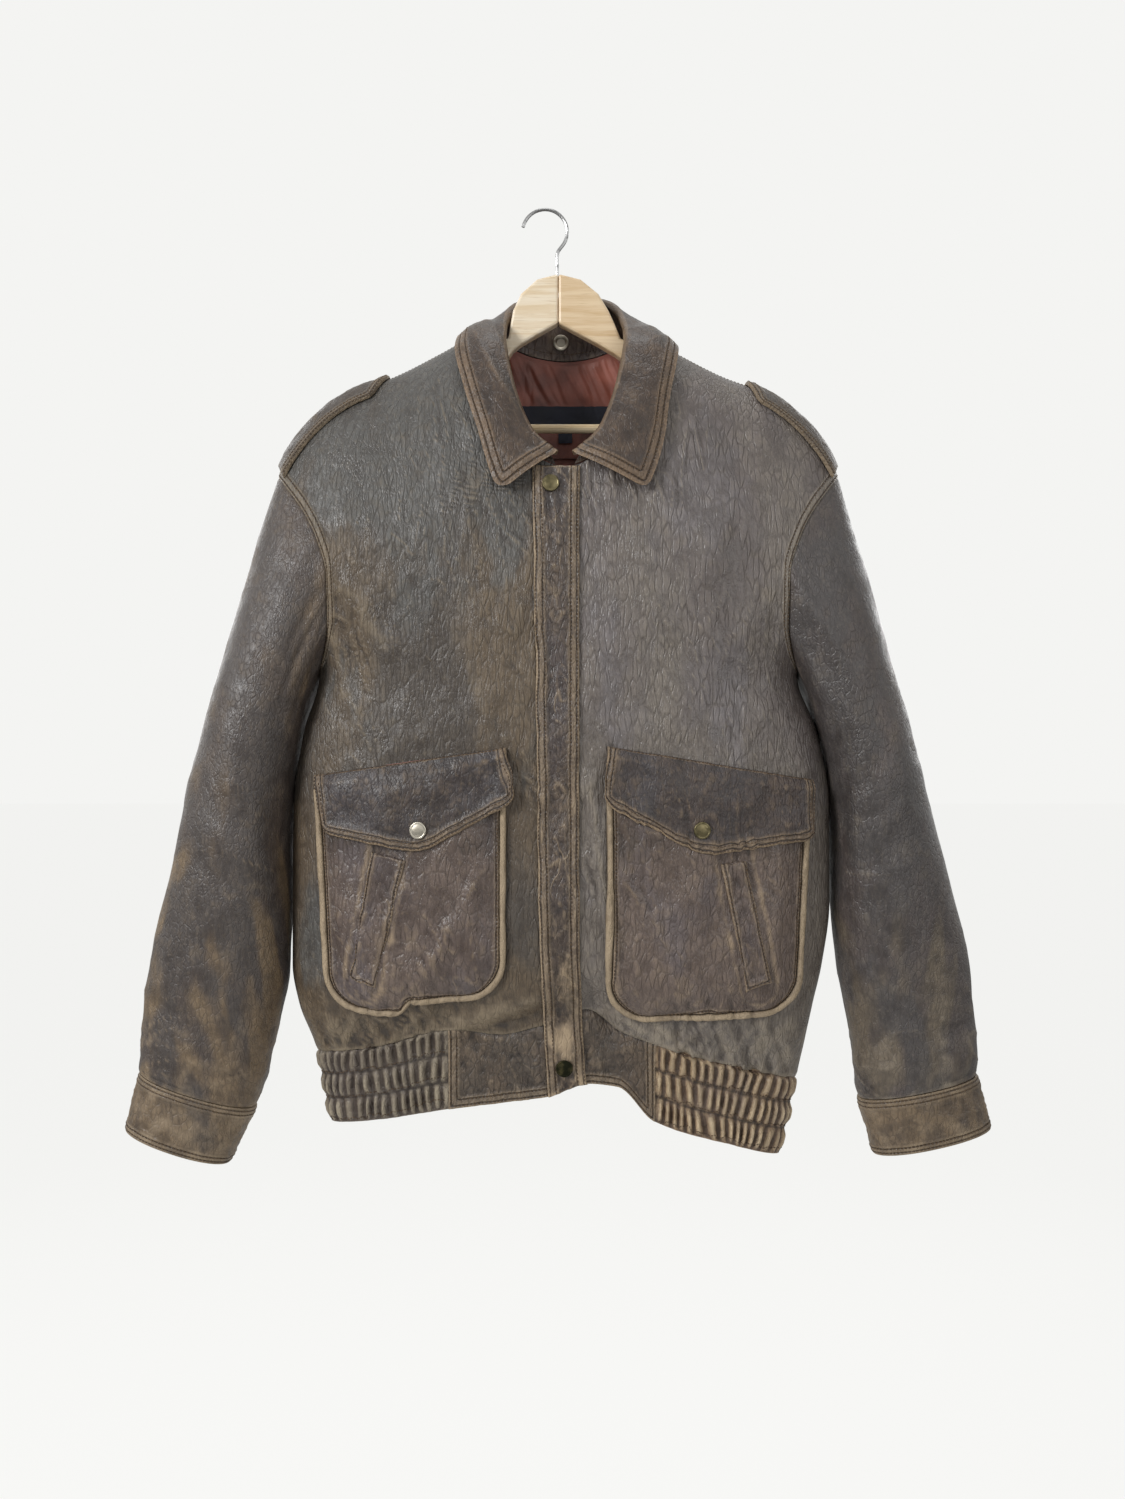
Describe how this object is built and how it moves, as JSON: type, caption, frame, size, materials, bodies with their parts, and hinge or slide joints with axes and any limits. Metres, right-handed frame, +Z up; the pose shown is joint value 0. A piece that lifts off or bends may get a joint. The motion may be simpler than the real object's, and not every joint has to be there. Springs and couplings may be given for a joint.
{
  "type": "worn leather jacket on a wooden hanger",
  "caption": "Worn leather blouson with a shirt collar, storm flap, shoulder straps, two flapped patch pockets and an elastic waist, hung open-necked on a wooden hanger.",
  "frame": {"origin": "the point inside the top of the wire hook's bend on which the hanger hangs", "axes": "+Z up, the jacket's front faces -Y, +X towards the wearer's left"},
  "size_m": [0.768, 0.1348, 0.8542],
  "materials": {
    "leather": "worn, cracked, satin",
    "piping": "worn, pale edge",
    "lining": "satin",
    "label": "woven",
    "brass": "antique, dull",
    "steel": "bright wire",
    "beech": "clear lacquer"
  },
  "bodies": {
    "root": {"back": "leather", "collar": "leather", "collar_stand": "leather", "cuff_left": "leather", "cuff_right": "leather", "epaulette_left": "leather", "epaulette_right": "leather", "flap_snap_left": "brass", "flap_snap_right": "brass", "front_left": "leather", "front_right": "leather", "hanger_arm_left": "beech", "hanger_arm_right": "beech", "hook": "steel", "neck_label": "label", "neck_lining": "lining", "pocket_flap_left": "leather", "pocket_flap_right": "leather", "pocket_left": "leather", "pocket_piping_left": "piping", "pocket_piping_right": "piping", "pocket_right": "leather", "pocket_welt_left": "leather", "pocket_welt_right": "leather", "size_tab": "label", "sleeve_left": "leather", "sleeve_right": "leather", "snap_bottom": "brass", "snap_top": "brass", "stand_snap": "brass", "storm_flap": "leather", "trouser_bar": "beech", "waist_back": "leather", "waist_elastic_left": "leather", "waist_elastic_right": "leather", "waist_front_left": "leather", "waist_front_right": "leather"}
  },
  "joints": []
}
